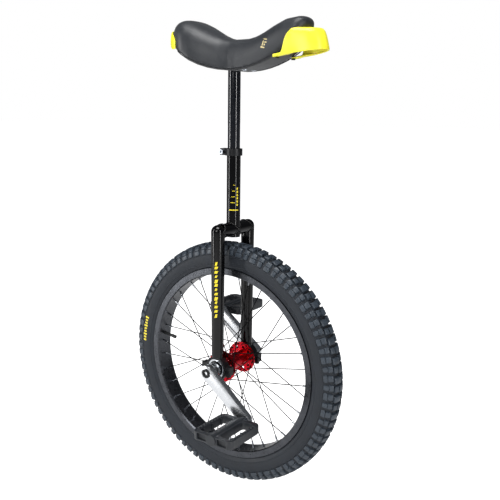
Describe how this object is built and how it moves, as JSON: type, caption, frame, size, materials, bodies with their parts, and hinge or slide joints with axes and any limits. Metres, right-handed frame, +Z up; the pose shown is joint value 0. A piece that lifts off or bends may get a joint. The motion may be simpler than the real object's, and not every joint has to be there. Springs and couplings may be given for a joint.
{
  "type": "unicycle",
  "caption": "Unicycle: knobby tyre on a spoked wheel, forked tubular frame, opposed cranks with platform pedals, and a curved saddle with a front grab handle.",
  "frame": {"origin": "on the ground, directly under the axle, in the wheel's centre plane", "axes": "+X is the riding direction, towards the grab handle; +Y the rider's left along the axle; +Z up"},
  "size_m": [0.529, 0.402, 0.9794],
  "materials": {
    "frame_paint": "gloss black powder coat",
    "black_steel": "satin black",
    "black_alloy": "black anodised",
    "post_paint": "gloss black",
    "steel": "bright zinc",
    "bearing_steel": "ground",
    "tread_rubber": "matt, blue-grey",
    "butyl": "matt",
    "rubber": "matt",
    "tape": "matt",
    "red_alloy": "red anodised",
    "spoke_black": "black",
    "nipple": "nickel",
    "crank_alloy": "brushed",
    "bolt_black": "black oxide",
    "pedal_plastic": "satin moulded",
    "bush": "satin",
    "pan_plastic": "satin",
    "foam": "open-cell foam",
    "cover": "satin stretch cover",
    "yellow": "gloss yellow"
  },
  "bodies": {
    "frame": {"seat_tube": "frame_paint", "crown_tube": "frame_paint", "leg_right": "frame_paint", "leg_left": "frame_paint", "bearing_saddle_right": "black_steel", "bearing_saddle_left": "black_steel", "bearing_cap_right": "black_steel", "bearing_cap_left": "black_steel", "cap_bolts": "bolt_black", "bearing_outer_races": "bearing_steel", "bearing_seals": "black_steel", "seat_clamp": "black_steel", "clamp_bolt": "steel", "clamp_nut": "steel"},
    "wheel": {"tyre": "tread_rubber", "inner_tube": "butyl", "rim_tape": "tape", "rim": "black_alloy", "valve_stem": "rubber", "valve_cap": "rubber", "spokes_right": "spoke_black", "spokes_left": "spoke_black", "spoke_nipples": "nipple", "hub_shell": "red_alloy", "spindle": "steel", "bearing_spacers": "red_alloy", "bearing_inner_races": "bearing_steel", "bearing_balls": "bearing_steel", "crank_right": "crank_alloy", "crank_left": "crank_alloy", "crank_bolts": "bolt_black", "pedal_axle_right": "steel", "pedal_axle_left": "steel", "pedal_axle_nuts": "steel"},
    "pedal_right": {"pedal_body_right": "pedal_plastic", "pedal_bushes_right": "bush", "pedal_cap_right": "pedal_plastic"},
    "pedal_left": {"pedal_body_left": "pedal_plastic", "pedal_bushes_left": "bush", "pedal_cap_left": "pedal_plastic"},
    "saddle": {"seatpost": "post_paint", "saddle_bracket": "black_steel", "bracket_bolts": "steel", "bracket_nuts": "steel", "saddle_pan": "pan_plastic", "saddle_foam": "foam", "saddle_cover": "cover", "front_bumper": "yellow", "rear_bumper": "yellow", "bumper_screws": "steel"}
  },
  "joints": [
    {"name": "wheel_spin", "type": "hinge", "parent": "frame", "child": "wheel", "pos_m": [0, 0, 0.2645], "axis": [0, 1, 0], "continuous": true},
    {"name": "pedal_right_spin", "type": "hinge", "parent": "wheel", "child": "pedal_right", "pos_m": [0.09714, -0.1495, 0.18584], "axis": [0, 1, 0], "continuous": true},
    {"name": "pedal_left_spin", "type": "hinge", "parent": "wheel", "child": "pedal_left", "pos_m": [-0.09714, 0.1495, 0.34316], "axis": [0, 1, 0], "continuous": true},
    {"name": "seat_height", "type": "slide", "parent": "frame", "child": "saddle", "axis": [0, 0, 1], "range_m": [-0.035, 0.08]}
  ]
}
